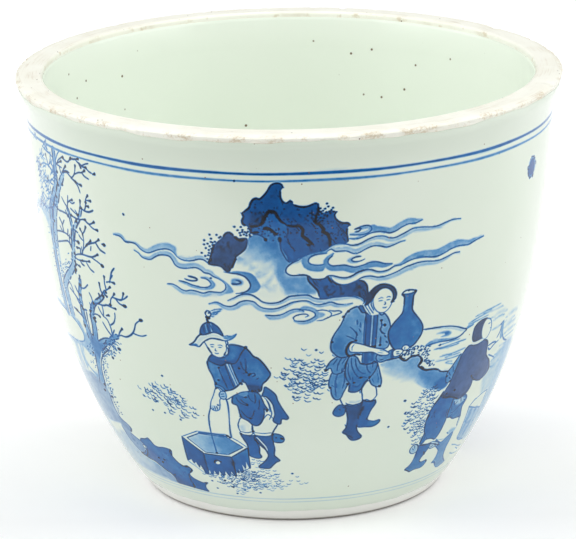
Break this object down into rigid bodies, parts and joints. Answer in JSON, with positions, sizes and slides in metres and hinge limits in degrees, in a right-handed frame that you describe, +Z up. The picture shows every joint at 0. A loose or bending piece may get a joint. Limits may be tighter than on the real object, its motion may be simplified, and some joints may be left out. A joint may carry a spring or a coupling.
{
  "type": "jardiniere",
  "caption": "Deep round porcelain jardiniere with a bare thickened lip, rounded belly, bare foot ring and glazed walls painted in underglaze blue.",
  "frame": {"origin": "centre of the foot ring's sole, on the surface the vessel stands on", "axes": "+Z up along the turning axis; -Y faces the viewer of the picture"},
  "size_m": [0.23, 0.23, 0.18],
  "materials": {
    "bare_foot": "unglazed turned porcelain, fine grained, greyish",
    "clay_body": "fired porcelain body, hidden under the glaze",
    "slip": "fired slip in the luted seam",
    "bare_lip": "unglazed lip, smooth, cream with brown-stained chips on its outer edge",
    "outer_glaze": "glossy bluish-white glaze over painting in cobalt blue",
    "inner_glaze": "glossy pale green-white glaze with fine pinholes",
    "base_glaze": "thin glossy glaze under the base"
  },
  "bodies": {
    "root": {"foot_ring": "bare_foot", "base_floor": "clay_body", "lower_wall": "clay_body", "luting_slip": "slip", "upper_wall": "clay_body", "rim_lip": "bare_lip", "outer_glaze": "outer_glaze", "inner_glaze": "inner_glaze", "base_glaze": "base_glaze"}
  },
  "joints": []
}
